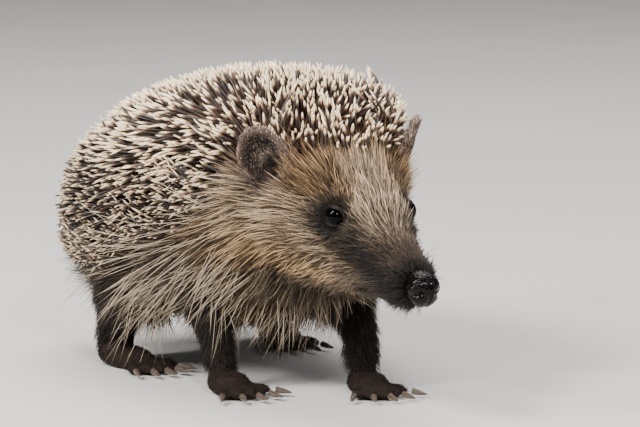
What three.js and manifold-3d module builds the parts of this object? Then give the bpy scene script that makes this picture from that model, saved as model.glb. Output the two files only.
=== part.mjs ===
// A young European hedgehog at life size, standing with its head low.
// Millimetres, +Z up, floor at z = 0. It faces -Y, and its left side is +X.
// The solids reach out to the tips of the fur and spines. The body is lofted in one, then parted by thin cuts.
import * as THREE from "three";
import { mergeVertices } from "three/addons/utils/BufferGeometryUtils.js";
import Module from "manifold-3d";

const wasm = await Module();
wasm.setup();

// Driving dimensions.
const gap = 0.3; // between neighbouring pieces
const noseAt = new THREE.Vector3(0, -85, 38); // centre of the nose pad
const headPitch = THREE.MathUtils.degToRad(14); // how far the snout points down
const nosePad = { deep: 3.4, wide: 4.1, high: 4.4 };
const eye = { radius: 3.2, back: 32.6, out: 10.6, up: 9.2 };
const ear = { back: 54, out: 23.7, up: 17.4, long: 18.5, wide: 15.5, deep: 3, thick: 1.6, turn: 0.95, lean: 0.15 };
const foreFoot = { long: 17, wide: 11, high: 7.5, toe: 7.5, toeWide: 1.75, spread: 0.62, claw: 5 };
const hindFoot = { long: 27, wide: 11.5, high: 7.5, toe: 8.5, toeWide: 1.9, spread: 0.4, claw: 5.4 };
const soleTop = 6.2; // height at which a foot meets its leg
const toeCount = 5;

// Stations of a loft: where along it, middle height, half width, height above the middle, depth below it,
// and how round its upper half is, from 1 for an ellipse down towards a box.
// The head's run along the snout, measured from the nose pad in the head's own frame.
const headStations = [
  [-82, 2, 25, 22, 20, 0.95],
  [-66, 3, 25, 21.5, 22, 0.85],
  [-54, 3, 23.2, 22, 22, 0.8],
  [-43, 3, 18.8, 20.5, 20, 0.85],
  [-31, 2, 13.4, 15, 15.5, 0.95],
  [-20, 0.5, 9.6, 9.7, 10.5, 1],
  [-10, -0.3, 7.2, 6.8, 7.6, 1],
  [-2, -0.4, 5.6, 5, 5.6, 1],
];
const trunkStations = [
  [-49, 68, 12, 8, 16, 0.75],
  [-42, 67, 17.5, 16, 24, 0.72],
  [-35, 65.5, 20.5, 20.5, 30, 0.7],
  [-28, 63.5, 25.2, 25, 34, 0.66],
  [-20, 61, 30, 29, 39, 0.63],
  [-8, 56, 34, 35, 37, 0.66],
  [6, 51, 40, 39.5, 34.5, 0.74],
  [25, 47, 45, 41, 32, 0.82],
  [43, 44, 45.5, 39.5, 29.5, 0.86],
  [60, 42, 42, 35, 26.5, 0.88],
  [76, 41, 34.5, 26.5, 23, 0.9],
  [88.4, 40, 26, 19, 18, 0.9],
];
// Lower edge of the spiny mantle seen from the side, as y and z.
const mantleEdge = [
  [-70, 73],
  [-48, 76],
  [-38, 79],
  [-31, 78],
  [-26, 70],
  [-21, 60],
  [-10, 50],
  [6, 41],
  [28, 32],
  [60, 28],
  [100, 28],
];

// Joints of each limb, from the body down: x, y, z and radius. Then where the foot is and which way it points.
const limbs = [
  {
    name: "foreleg_left",
    footName: "forefoot_left",
    foot: foreFoot,
    joints: [
      [17, -4, 40, 10],
      [19, -6, 26, 8],
      [15.5, -22, 13, 6],
      [13, -27, 4, 5.2],
    ],
    at: [12, -32, -0.06],
  },
  {
    name: "foreleg_right",
    footName: "forefoot_right",
    foot: foreFoot,
    joints: [
      [-20, -2, 40, 9],
      [-23, 0, 27, 7.5],
      [-22, -6, 14, 5.7],
      [-22, -9, 4, 5.1],
    ],
    at: [-22.5, -14, 0.12],
  },
  {
    name: "hindleg_left",
    footName: "hindfoot_left",
    foot: hindFoot,
    joints: [
      [25, 50, 38, 14],
      [30, 46, 25, 12],
      [29, 58, 13, 7.5],
      [28, 63, 4, 5.4],
    ],
    at: [28.5, 54, -0.16],
  },
  {
    name: "hindleg_right",
    footName: "hindfoot_right",
    foot: hindFoot,
    joints: [
      [-25, 40, 38, 14],
      [-31, 34, 25, 12],
      [-30, 43, 13, 7.5],
      [-29, 48, 4, 5.4],
    ],
    at: [-29.5, 39, 0.16],
  },
];

const materials = {
  fur: { color: 0x8c7357, roughness: 0.9, metalness: 0 },
  darkFur: { color: 0x3d2f26, roughness: 0.9, metalness: 0 },
  spines: { color: 0xa38c74, roughness: 0.7, metalness: 0 },
  earSkin: { color: 0x5a4b42, roughness: 0.8, metalness: 0 },
  wetNose: { color: 0x16100f, roughness: 0.25, metalness: 0 },
  eyeBlack: { color: 0x050404, roughness: 0.05, metalness: 0 },
  horn: { color: 0x6b5547, roughness: 0.5, metalness: 0 },
};

const bodyFrame = new THREE.Matrix4();
// The head's frame: x forward along the snout, y to the left, z up.
const headFrame = new THREE.Matrix4().compose(
  noseAt,
  new THREE.Quaternion().setFromEuler(new THREE.Euler(0, headPitch, -Math.PI / 2, "ZYX")),
  new THREE.Vector3(1, 1, 1),
);

function solidOf(geometry, matrix = bodyFrame) {
  const bare = geometry.clone().applyMatrix4(matrix);
  bare.deleteAttribute("normal");
  bare.deleteAttribute("uv");
  const merged = mergeVertices(bare, 1e-3);
  return new wasm.Manifold(
    new wasm.Mesh({
      numProp: 3,
      vertProperties: merged.attributes.position.array,
      triVerts: new Uint32Array(merged.index.array),
    }),
  );
}

function geometryOf(solid) {
  const { vertProperties, triVerts, numProp, numVert } = solid.getMesh();
  const position = new Float32Array(numVert * 3);
  for (let i = 0; i < numVert; i++)
    position.set(vertProperties.subarray(i * numProp, i * numProp + 3), i * 3);
  const geometry = new THREE.BufferGeometry();
  geometry.setAttribute("position", new THREE.BufferAttribute(position, 3));
  geometry.setIndex(new THREE.BufferAttribute(triVerts, 1));
  geometry.computeVertexNormals();
  return geometry;
}

// Smooth values between stations.
function profileOf(stations) {
  const spline = new THREE.CubicInterpolant(
    stations.map((row) => row[0]),
    stations.flatMap((row) => row.slice(1)),
    stations[0].length - 1,
  );
  return (at) => Array.from(spline.evaluate(at));
}

// A closed skin over rings of points, with one point at each end.
function skinOver(rings, first, last) {
  const around = rings[0].length;
  const position = [first, ...rings.flat(), last].flatMap((p) => [p.x, p.y, p.z]);
  const lastIndex = rings.length * around + 1;
  const index = [];
  for (let i = 0; i < around; i++) {
    const next = (i + 1) % around;
    index.push(0, 1 + next, 1 + i);
    for (let r = 0; r + 1 < rings.length; r++) {
      const a = 1 + r * around;
      const b = a + around;
      index.push(a + i, a + next, b + next, a + i, b + next, b + i);
    }
    const end = 1 + (rings.length - 1) * around;
    index.push(lastIndex, end + i, end + next);
  }
  const geometry = new THREE.BufferGeometry();
  geometry.setAttribute("position", new THREE.Float32BufferAttribute(position, 3));
  geometry.setIndex(index);
  return geometry;
}

// How much of a section is left near a rounded end: 1 along the middle, 0 at the end itself.
function rounding(at, start, startRound, end, endRound) {
  const towards = Math.max((start + startRound - at) / startRound, (at - end + endRound) / endRound, 0);
  return Math.sqrt(Math.max(0, 1 - Math.min(1, towards) ** 2));
}

// Lofts stations along one axis, with sections across the other two. grow makes all of it larger.
function loft(stations, { axes, startRound, endRound, ringCount, around, grow = 0 }) {
  const [along, side, up] = axes.map((axis) => new THREE.Vector3(...axis));
  const profile = profileOf(stations);
  const start = stations[0][0];
  const end = stations[stations.length - 1][0];
  const pointAt = (at, x, z) =>
    new THREE.Vector3().addScaledVector(along, at).addScaledVector(side, x).addScaledVector(up, z);
  const rings = [];
  for (let r = 1; r < ringCount; r++) {
    const at = THREE.MathUtils.lerp(start, end, (1 - Math.cos((Math.PI * r) / ringCount)) / 2);
    const [middle, wide, above, below, round] = profile(at);
    const left = rounding(at, start, startRound, end, endRound);
    const spread = THREE.MathUtils.mapLinear(at, start, end, start - grow, end + grow);
    rings.push(
      Array.from({ length: around }, (_, i) => {
        const angle = (2 * Math.PI * i) / around;
        const upper = Math.sin(angle) > 0;
        const power = upper ? round : 0.95;
        const x = Math.sign(Math.cos(angle)) * Math.abs(Math.cos(angle)) ** power;
        const z = Math.sign(Math.sin(angle)) * Math.abs(Math.sin(angle)) ** power;
        return pointAt(spread, x * (wide * left + grow), middle + z * ((upper ? above : below) * left + grow));
      }),
    );
  }
  return skinOver(
    rings,
    pointAt(start - grow, 0, profile(start)[0]),
    pointAt(end + grow, 0, profile(end)[0]),
  );
}

function ellipsoid(centre, radii, matrix = bodyFrame, across = 16, down = 12) {
  const place = matrix
    .clone()
    .multiply(new THREE.Matrix4().makeTranslation(...centre))
    .multiply(new THREE.Matrix4().makeScale(...radii));
  return solidOf(new THREE.SphereGeometry(1, across, down), place);
}

// A wall whose outline is drawn in a plane (first axis, up) and which runs right across the body.
function wall(outline, axes, frame = bodyFrame) {
  const across = 180;
  const shape = new THREE.Shape(outline.map(([a, b]) => new THREE.Vector2(a, b)));
  const geometry = new THREE.ExtrudeGeometry(shape, { depth: across, bevelEnabled: false });
  geometry.translate(0, 0, -across / 2);
  const [first, second, third] = axes.map((axis) => new THREE.Vector3(...axis));
  return solidOf(geometry, frame.clone().multiply(new THREE.Matrix4().makeBasis(first, second, third)));
}

const sideOfBody = [[0, 1, 0], [0, 0, 1], [1, 0, 0]]; // draws in y and z
const sideOfHead = [[1, 0, 0], [0, 0, 1], [0, -1, 0]]; // draws in the head's x and z

// Everything above the mantle's edge, with the edge raised by some amount.
function aboveEdge(raised) {
  const edge = new THREE.SplineCurve(mantleEdge.map(([y, z]) => new THREE.Vector2(y, z + raised)));
  const line = edge.getPoints(30).map((p) => [p.x, p.y]);
  const ceiling = 150;
  return wall([...line, [line[30][0], ceiling], [line[0][0], ceiling]], sideOfBody);
}

// Parts a solid by a plane, leaving a gap: what lies along the normal first, then the rest.
function part(solid, normal, offset) {
  const opposite = normal.map((n) => -n);
  return [solid.trimByPlane(normal, offset + gap / 2), solid.trimByPlane(opposite, gap / 2 - offset)];
}

// The head, neck and trunk in one, out to the tips of the coat.
function wholeBody(grow = 0) {
  const head = loft(headStations, {
    axes: [[1, 0, 0], [0, 1, 0], [0, 0, 1]],
    startRound: 22,
    endRound: 5,
    ringCount: 15,
    around: 22,
    grow,
  });
  const trunk = loft(trunkStations, {
    axes: [[0, 1, 0], [-1, 0, 0], [0, 0, 1]],
    startRound: 15,
    endRound: 22,
    ringCount: 22,
    around: 30,
    grow,
  });
  return solidOf(head, headFrame).add(solidOf(trunk));
}

// A tapered limb through its joints.
function limbSolid(joints) {
  const around = 12;
  const steps = 7;
  const curve = new THREE.CatmullRomCurve3(joints.map(([x, y, z]) => new THREE.Vector3(x, y, z)));
  const radii = new THREE.CubicInterpolant(
    joints.map((_, i) => i / (joints.length - 1)),
    joints.map((joint) => joint[3]),
    1,
  );
  const frames = curve.computeFrenetFrames(steps, false);
  const rings = Array.from({ length: steps + 1 }, (_, r) => {
    const radius = radii.evaluate(r / steps)[0];
    return Array.from({ length: around }, (_, i) => {
      const angle = (2 * Math.PI * i) / around;
      return curve
        .getPointAt(r / steps)
        .addScaledVector(frames.normals[r], radius * Math.cos(angle))
        .addScaledVector(frames.binormals[r], radius * Math.sin(angle));
    });
  });
  return solidOf(skinOver(rings, curve.getPoint(0), curve.getPoint(1)));
}

// Where each toe starts and which way it points, in the foot's own frame: x forward, y to the left.
function toesOf(foot) {
  return Array.from({ length: toeCount }, (_, i) => {
    const across = i / ((toeCount - 1) / 2) - 1;
    const x = foot.long / 2 - 1.5 - 3 * across ** 2;
    return new THREE.Matrix4()
      .makeTranslation(x, across * foot.wide * 0.4, 1.9)
      .multiply(new THREE.Matrix4().makeRotationZ(across * foot.spread));
  });
}

// Palm and toes in one, flat underneath and flat where the leg stands on it.
function footSolid(foot, frame) {
  const palm = ellipsoid([0, 0, 3], [foot.long / 2, foot.wide / 2, foot.high - 3], frame, 11, 5);
  const toes = toesOf(foot).map((place) =>
    ellipsoid([foot.toe * 0.35, 0, 0], [foot.toe * 0.65, foot.toeWide, 2.2], frame.clone().multiply(place), 7, 4),
  );
  return toes
    .reduce((sum, toe) => sum.add(toe), palm)
    .trimByPlane([0, 0, 1], 0)
    .trimByPlane([0, 0, -1], -soleTop);
}

function clawSolid(foot, frame, place) {
  const outline = [
    [0, 0],
    [0.95, 0.15],
    [0.8, foot.claw * 0.45],
    [0.3, foot.claw * 0.9],
    [0, foot.claw],
  ].map(([r, h]) => new THREE.Vector2(r, h));
  const cone = new THREE.LatheGeometry(outline, 7).rotateZ(-Math.PI / 2).rotateY(0.12);
  cone.translate(foot.toe + gap, 0, 0.1);
  return solidOf(cone, frame.clone().multiply(place));
}

// A cupped ear in its own frame: x out of its open side, y across, z up.
function earSolid(side) {
  const rings = 5;
  const around = 18;
  const face = (inset, back) =>
    Array.from({ length: rings }, (_, r) => {
      const reach = (r + 1) / rings;
      const depth = ear.deep * (1 - reach ** 2) + back * ear.thick;
      return Array.from({ length: around }, (_, i) => {
        const angle = (-2 * Math.PI * i) / around;
        const narrow = 1 - 0.3 * Math.max(0, -Math.sin(angle)) ** 2;
        const y = (Math.cos(angle) * narrow * ear.wide) / 2 - inset * Math.cos(angle);
        const z = (Math.sin(angle) * ear.long) / 2 - inset * Math.sin(angle);
        return new THREE.Vector3(-depth, y * reach, z * reach);
      });
    });
  const cup = skinOver(
    [...face(ear.thick * 0.4, 0), ...face(0, 1).reverse()],
    new THREE.Vector3(-ear.deep, 0, 0),
    new THREE.Vector3(-ear.deep - ear.thick, 0, 0),
  );
  const place = new THREE.Matrix4().compose(
    new THREE.Vector3(-ear.back, side * ear.out, ear.up),
    new THREE.Quaternion().setFromEuler(new THREE.Euler(-side * ear.lean, 0.12, side * ear.turn, "ZYX")),
    new THREE.Vector3(1, 1, 1),
  );
  return solidOf(cup, headFrame.clone().multiply(place));
}

function nosePadSolid(grow = 0) {
  const radii = [nosePad.deep, nosePad.wide, nosePad.high].map((r) => r + grow);
  return ellipsoid([0, 0, 0], radii, headFrame, 14, 9);
}

function noseSolid() {
  const nostril = (side) =>
    ellipsoid([nosePad.deep - 0.6, side * nosePad.wide * 0.46, -0.4], [1.6, 1, 0.9], headFrame, 8, 6);
  return nosePadSolid().subtract(nostril(1)).subtract(nostril(-1));
}

// The lower jaw's cell: below the mouth line, back to the corner of the jaw.
function jawCell(grow) {
  const outline = [
    [8, -30],
    [8, -4.4 + grow],
    [-4, -4.7 + grow],
    [-27 - grow, -8 + grow],
    [-31 - grow, -30],
  ];
  return wall(outline, sideOfHead, headFrame);
}

function eyeSolid(side, grow = 0) {
  const r = eye.radius + grow;
  return ellipsoid([-eye.back, side * eye.out, eye.up], [r, r, r], headFrame, 14, 9);
}

const hedgehog = new THREE.Group();
hedgehog.name = "hedgehog";

function group(parent, name, frame = bodyFrame) {
  const made = new THREE.Group();
  made.name = name;
  frame.decompose(made.position, made.quaternion, made.scale);
  made.userData.frame = frame;
  parent.add(made);
  return made;
}

// Adds a solid given in world place as a mesh of a group, recentred on itself.
function addPiece(parent, name, solid, material) {
  const frame = parent.userData.frame ?? bodyFrame;
  const geometry = geometryOf(solid.transform(frame.clone().invert().toArray()));
  geometry.computeBoundingBox();
  const centre = geometry.boundingBox.getCenter(new THREE.Vector3());
  geometry.translate(-centre.x, -centre.y, -centre.z);
  const mesh = new THREE.Mesh(geometry, new THREE.MeshStandardMaterial(materials[material]));
  mesh.name = name;
  mesh.position.copy(centre);
  parent.add(mesh);
}

const skinGrown = wholeBody(gap);
const body = [eyeSolid(1, gap), eyeSolid(-1, gap), nosePadSolid(gap)].reduce(
  (left, socket) => left.subtract(socket),
  wholeBody(),
);
const mantle = body.intersect(aboveEdge(gap / 2));
const underside = body.subtract(aboveEdge(-gap / 2));

function addMantle() {
  const [behindCrown, crown] = part(mantle, [0, 1, 0], -18);
  const [rump, back] = part(behindCrown, [0, 1, 0], 52);
  const spiny = group(hedgehog, "mantle");
  addPiece(spiny, "crown", crown, "spines");
  addPiece(spiny, "back", back, "spines");
  addPiece(spiny, "rump", rump, "spines");
}

function addHead() {
  const skull = group(hedgehog, "head_group", headFrame);
  const furred = part(underside, [0, 1, 0], -24)[1];
  const jaw = furred.intersect(jawCell(0));
  const upper = furred.subtract(jawCell(gap));
  const snout = new THREE.Vector3(1, 0, 0).transformDirection(headFrame).toArray();
  const cutAt = new THREE.Vector3(-19, 0, 0).applyMatrix4(headFrame).dot(new THREE.Vector3(...snout));
  const [muzzle, head] = part(upper, snout, cutAt);
  addPiece(skull, "head", head, "fur");
  addPiece(skull, "muzzle", muzzle, "darkFur");
  addPiece(skull, "lower_jaw", jaw, "darkFur");
  addPiece(skull, "nose", noseSolid(), "wetNose");
  for (const [side, name] of [[1, "left"], [-1, "right"]]) {
    addPiece(skull, `eye_${name}`, eyeSolid(side), "eyeBlack");
    addPiece(skull, `ear_${name}`, earSolid(side).subtract(skinGrown), "earSkin");
  }
}

function addTrunk() {
  const trunk = group(hedgehog, "trunk");
  const behindHead = part(underside, [0, 1, 0], -24)[0];
  const [behindNeck, neck] = part(behindHead, [0, 1, 0], -13);
  const [behindChest, front] = part(behindNeck, [0, 1, 0], 14);
  const [rear, middle] = part(behindChest, [0, 1, 0], 52);
  addPiece(trunk, "neck", neck, "fur");
  const across = [
    [front, 15, "shoulder", "chest"],
    [middle, 24, "flank", "belly"],
    [rear, 18, "haunch", "vent"],
  ];
  for (const [section, half, sideName, middleName] of across) {
    const [left, rest] = part(section, [1, 0, 0], half);
    const [right, centre] = part(rest, [-1, 0, 0], half);
    addPiece(trunk, `${sideName}_left`, left, "fur");
    addPiece(trunk, `${sideName}_right`, right, "fur");
    addPiece(trunk, middleName, centre, "darkFur");
  }
  const tail = limbSolid([
    [0, 70, 34, 4.5],
    [0, 77, 28, 4],
    [0, 82, 23, 2.9],
    [0, 85, 17.5, 1.2],
  ]);
  addPiece(trunk, "tail", tail.subtract(skinGrown), "darkFur");
}

function addLimb({ name, footName, foot, joints, at: [x, y, turn] }) {
  const limb = group(hedgehog, `${name}_group`);
  const frame = new THREE.Matrix4()
    .makeTranslation(x, y, 0)
    .multiply(new THREE.Matrix4().makeRotationZ(turn - Math.PI / 2));
  const leg = limbSolid(joints).subtract(skinGrown).trimByPlane([0, 0, 1], soleTop + gap);
  addPiece(limb, name, leg, "darkFur");
  addPiece(limb, footName, footSolid(foot, frame), "darkFur");
  toesOf(foot).forEach((place, i) => {
    addPiece(limb, `claw_${footName}_${i + 1}`, clawSolid(foot, frame, place), "horn");
  });
}

addMantle();
addHead();
addTrunk();
limbs.forEach(addLimb);

export default hedgehog;
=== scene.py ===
import itertools
import math

import bmesh
import bpy
import numpy as np
from mathutils import Matrix, Vector
from mathutils.bvhtree import BVHTree
from mathutils.kdtree import KDTree


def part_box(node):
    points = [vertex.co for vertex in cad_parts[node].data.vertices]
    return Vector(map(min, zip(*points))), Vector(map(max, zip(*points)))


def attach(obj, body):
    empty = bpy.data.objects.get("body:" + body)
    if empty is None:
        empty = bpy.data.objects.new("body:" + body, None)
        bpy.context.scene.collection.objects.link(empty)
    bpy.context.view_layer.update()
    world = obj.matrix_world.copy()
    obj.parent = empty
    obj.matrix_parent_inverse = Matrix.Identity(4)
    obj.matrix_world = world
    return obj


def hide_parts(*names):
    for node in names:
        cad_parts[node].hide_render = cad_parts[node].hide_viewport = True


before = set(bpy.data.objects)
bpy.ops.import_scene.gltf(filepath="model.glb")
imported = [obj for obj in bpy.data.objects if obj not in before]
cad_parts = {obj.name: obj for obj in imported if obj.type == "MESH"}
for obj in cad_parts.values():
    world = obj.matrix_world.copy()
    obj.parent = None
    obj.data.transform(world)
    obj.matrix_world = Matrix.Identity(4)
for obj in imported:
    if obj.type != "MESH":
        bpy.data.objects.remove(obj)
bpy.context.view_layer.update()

mm = 0.001
print("frame loaded:", len(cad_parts), "nodes")


# small tools for arrays of points and colours

def unit(vectors):
    return vectors / np.maximum(np.linalg.norm(vectors, axis=-1, keepdims=True), 1e-12)


def ramp(value, low, high):
    t = np.clip((value - low) / (high - low), 0, 1)
    return t * t * (3 - 2 * t)


def blend(a, b, share):
    share = np.asarray(share)[..., None]
    return a * (1 - share) + b * share


def tint(red, green, blue):
    # a display colour, 0 to 255, as the linear numbers that shaders take
    c = np.array([red, green, blue]) / 255
    return np.where(c <= 0.04045, c / 12.92, ((c + 0.055) / 1.055) ** 2.4)


def swirl(points, size, seed, waves=7):
    # a smooth, wandering number between about -1 and 1, with lumps of the given size
    random = np.random.default_rng(seed)
    total = np.zeros(len(points))
    for _ in range(waves):
        way = random.normal(size=3)
        way *= random.uniform(0.7, 1.4) * 2 * math.pi / (2 * size) / np.linalg.norm(way)
        total += np.sin(points @ way + random.uniform(0, 2 * math.pi))
    return total / math.sqrt(waves)


# the camera, floor and lights

view = {"azimuth": -28, "elevation": 8, "distance": 1.0, "aim": (-0.02303, -0.06956, 0.05809)}
view |= {"pixelsPerMetre": 3770, "pictureWidth": 640, "sensor": 36}


def towards(azimuth, elevation):
    a, e = math.radians(azimuth), math.radians(elevation)
    return Vector((math.sin(a) * math.cos(e), -math.cos(a) * math.cos(e), math.sin(e)))


def facing(start, aim):
    return (Vector(aim) - Vector(start)).to_track_quat("-Z", "Y").to_euler()


def linked(name, data):
    # an object of the scene that shows the data
    thing = bpy.data.objects.new(name, data)
    bpy.context.collection.objects.link(thing)
    return thing


def addCamera():
    camera = linked("camera", bpy.data.cameras.new("camera"))
    aim = Vector(view["aim"])
    camera.location = aim + view["distance"] * towards(view["azimuth"], view["elevation"])
    camera.rotation_euler = facing(camera.location, aim)
    camera.data.sensor_width = view["sensor"]
    camera.data.lens = view["pixelsPerMetre"] * view["distance"] / view["pictureWidth"] * view["sensor"]
    camera.data.clip_end = 100
    bpy.context.scene.camera = camera


lights = {
    # name: azimuth, elevation, distance, size, power, colour
    "key": (-75, 45, 0.9, 0.2, 8.6, (1.0, 0.97, 0.93)),
    "catch": (-86, 28, 0.9, 0.11, 4.6, (1.0, 1.0, 1.0)),
    "spark": (-18, 30, 0.9, 0.1, 4.0, (1.0, 1.0, 1.0)),
    "fill": (35, 30, 1.4, 0.8, 5.0, (0.97, 0.98, 1.0)),
    "top": (150, 70, 1.1, 0.9, 14.5, (1.0, 0.98, 0.95)),
}
room = {"litAt": (0, 0, 0.05), "colour": (0.86, 0.88, 0.9, 1), "strength": 0.22}


def addLights():
    for name, (azimuth, elevation, distance, size, power, colour) in lights.items():
        lamp = bpy.data.lights.new(name, "AREA")
        lamp.size = size
        lamp.energy = power
        lamp.color = colour
        holder = linked(name, lamp)
        aim = Vector(room["litAt"])
        holder.location = aim + distance * towards(azimuth, elevation)
        holder.rotation_euler = facing(holder.location, aim)
    world = bpy.data.worlds.new("soft room")
    world.use_nodes = True
    sky = world.node_tree.nodes["Background"]
    sky.inputs["Color"].default_value = room["colour"]
    sky.inputs["Strength"].default_value = room["strength"]
    bpy.context.scene.world = world


class Finish:
    # a material under construction, with short ways to add its nodes

    def __init__(self, name, roughness=0.5, specular=0.5):
        self.material = bpy.data.materials.new(name)
        self.material.use_nodes = True
        self.tree = self.material.node_tree
        self.shader = self.tree.nodes["Principled BSDF"]
        self.shader.inputs["Roughness"].default_value = roughness
        self.shader.inputs["Specular IOR Level"].default_value = specular

    def node(self, kind, **settings):
        node = self.tree.nodes.new(kind)
        for key, value in settings.items():
            setattr(node, key, value)
        return node

    def join(self, start, end):
        self.tree.links.new(start, end)

    def place(self):
        return self.node("ShaderNodeTexCoord").outputs["Object"]

    def attribute(self, name, output="Color"):
        return self.node("ShaderNodeAttribute", attribute_name=name).outputs[output]

    def noise(self, scale, detail=3, roughness=0.5):
        noise = self.node("ShaderNodeTexNoise")
        noise.inputs["Scale"].default_value = scale
        noise.inputs["Detail"].default_value = detail
        noise.inputs["Roughness"].default_value = roughness
        self.join(self.place(), noise.inputs["Vector"])
        return noise.outputs["Fac"]

    def cells(self, scale):
        cells = self.node("ShaderNodeTexVoronoi")
        cells.inputs["Scale"].default_value = scale
        self.join(self.place(), cells.inputs["Vector"])
        return cells.outputs["Distance"]

    def steps(self, factor, stops):
        # a colour ramp; stops are (place, colour)
        band = self.node("ShaderNodeValToRGB")
        keys = band.color_ramp.elements
        for index, (place, colour) in enumerate(stops):
            key = keys[index] if index < 2 else keys.new(place)
            key.position = place
            key.color = (*colour, 1)
        self.join(factor, band.inputs["Fac"])
        return band.outputs["Color"]

    def grey(self, factor, low, high):
        spread = self.node("ShaderNodeMapRange")
        spread.inputs["To Min"].default_value = low
        spread.inputs["To Max"].default_value = high
        self.join(factor, spread.inputs["Value"])
        return spread.outputs["Result"]

    def times(self, colour, factor):
        mix = self.node("ShaderNodeVectorMath", operation="SCALE")
        self.join(colour, mix.inputs[0])
        self.join(factor, mix.inputs["Scale"])
        return mix.outputs["Vector"]

    def bump(self, height, distance, strength=1.0):
        bump = self.node("ShaderNodeBump")
        bump.inputs["Strength"].default_value = strength
        bump.inputs["Distance"].default_value = distance
        self.join(height, bump.inputs["Height"])
        self.join(bump.outputs["Normal"], self.shader.inputs["Normal"])

    def colour(self, socket):
        self.join(socket, self.shader.inputs["Base Color"])


studioFloor = {"radius": 40, "segments": 64}


def floorFinish():
    finish = Finish("studio_floor", roughness=0.7, specular=0.2)
    finish.colour(finish.steps(finish.noise(9, 4), [(0.3, tint(216, 213, 209)), (0.7, tint(222, 219, 215))]))
    return finish.material


def addFloor():
    mesh = bpy.data.meshes.new("floor")
    shape = bmesh.new()
    bmesh.ops.create_circle(shape, cap_ends=True, **studioFloor)
    shape.to_mesh(mesh)
    floor = linked("floor", mesh)
    mesh.materials.append(floorFinish())


addCamera()
addLights()
addFloor()
print("camera, lights and floor made")


# the head's own frame: forward, left and up from the middle of the nose, as in the frame's solids;
# eyes, ears and markings are placed in it, in millimetres

head = {"nose": np.array([0, -0.085, 0.038]), "pitch": 14}
head["axes"] = np.array([
    [0, -math.cos(math.radians(head["pitch"])), -math.sin(math.radians(head["pitch"]))],
    [1, 0, 0],
    [0, -math.sin(math.radians(head["pitch"])), math.cos(math.radians(head["pitch"]))],
])
eyes = {"back": 32.6, "out": 10.6, "up": 9.2, "radius": 3.2, "around": (9, 4.5)}
ears = {"back": 54, "out": 23.7, "up": 17.4, "long": 18.5, "wide": 15.5}
ears |= {"turn": 0.95, "lean": 0.15, "tip": 0.12, "rim": 0.12}
ears |= {"hole": (3.4, -3.6), "holeSize": (2.9, 3.6)}   # its place across and up, and its half widths


def inHead(points):
    return (points - head["nose"]) @ head["axes"].T / mm


def fromHead(forward, left, up):
    return head["nose"] + np.array([forward, left, up]) * mm @ head["axes"]


def eyeCentre(side):
    return fromHead(-eyes["back"], side * eyes["out"], eyes["up"])


def earMatrix(side):
    # turns the ear's own frame (open side, across, up) into the head's
    turned = Matrix.Rotation(side * ears["turn"], 3, "Z") @ Matrix.Rotation(ears["tip"], 3, "Y")
    return np.array(turned @ Matrix.Rotation(-side * ears["lean"], 3, "X"))


def inEar(points, side):
    # x out of the ear's open side, y across it and z up it
    place = np.array([-ears["back"], side * ears["out"], ears["up"]])
    return (inHead(points) - place) @ earMatrix(side)


def fromEarMiddle(across, up):
    # 0 in the middle of an ear and 1 at its rim
    return np.hypot(across / ears["wide"] * 2, up / ears["long"] * 2)


def earHole(across, up, side):
    # how near a point is to the ear's passage, low at its front edge
    (away, rise), (wide, high) = ears["hole"], ears["holeSize"]
    return np.exp(-((across + side * away) / wide) ** 2 - ((up - rise) / high) ** 2)


# the coat: what grows on each region of the body

shades = {
    # name: colour at the hair's root, colour at its tip
    # mantle is the skin seen between the spines, made dark brown with painted shade where it is paler
    "mantle": (tint(60, 49, 42), tint(94, 78, 66)),
    "forehead": (tint(34, 25, 17), tint(172, 137, 98)),
    "bridge": (tint(56, 45, 36), tint(226, 199, 168)),
    "brow": (tint(32, 23, 15), tint(158, 125, 86)),
    "cheek": (tint(40, 32, 25), tint(200, 174, 142)),
    "jowl": (tint(34, 26, 18), tint(200, 166, 122)),
    "neck": (tint(27, 20, 14), tint(162, 131, 94)),
    "mask": (tint(9, 7, 6), tint(36, 28, 24)),
    "snout": (tint(18, 13, 10), tint(98, 75, 58)),
    "chin": (tint(18, 13, 10), tint(84, 66, 50)),
    "throat": (tint(24, 19, 15), tint(120, 104, 84)),
    "flank": (tint(24, 18, 14), tint(140, 113, 93)),
    "under": (tint(24, 19, 14), tint(124, 102, 78)),
    "leg": (tint(26, 20, 16), tint(84, 68, 52)),
    "foot": (tint(40, 31, 27), tint(78, 64, 54)),
    "ear": (tint(46, 37, 32), tint(138, 120, 108)),
    "guard": (tint(120, 100, 78), tint(232, 214, 188)),
}

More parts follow.
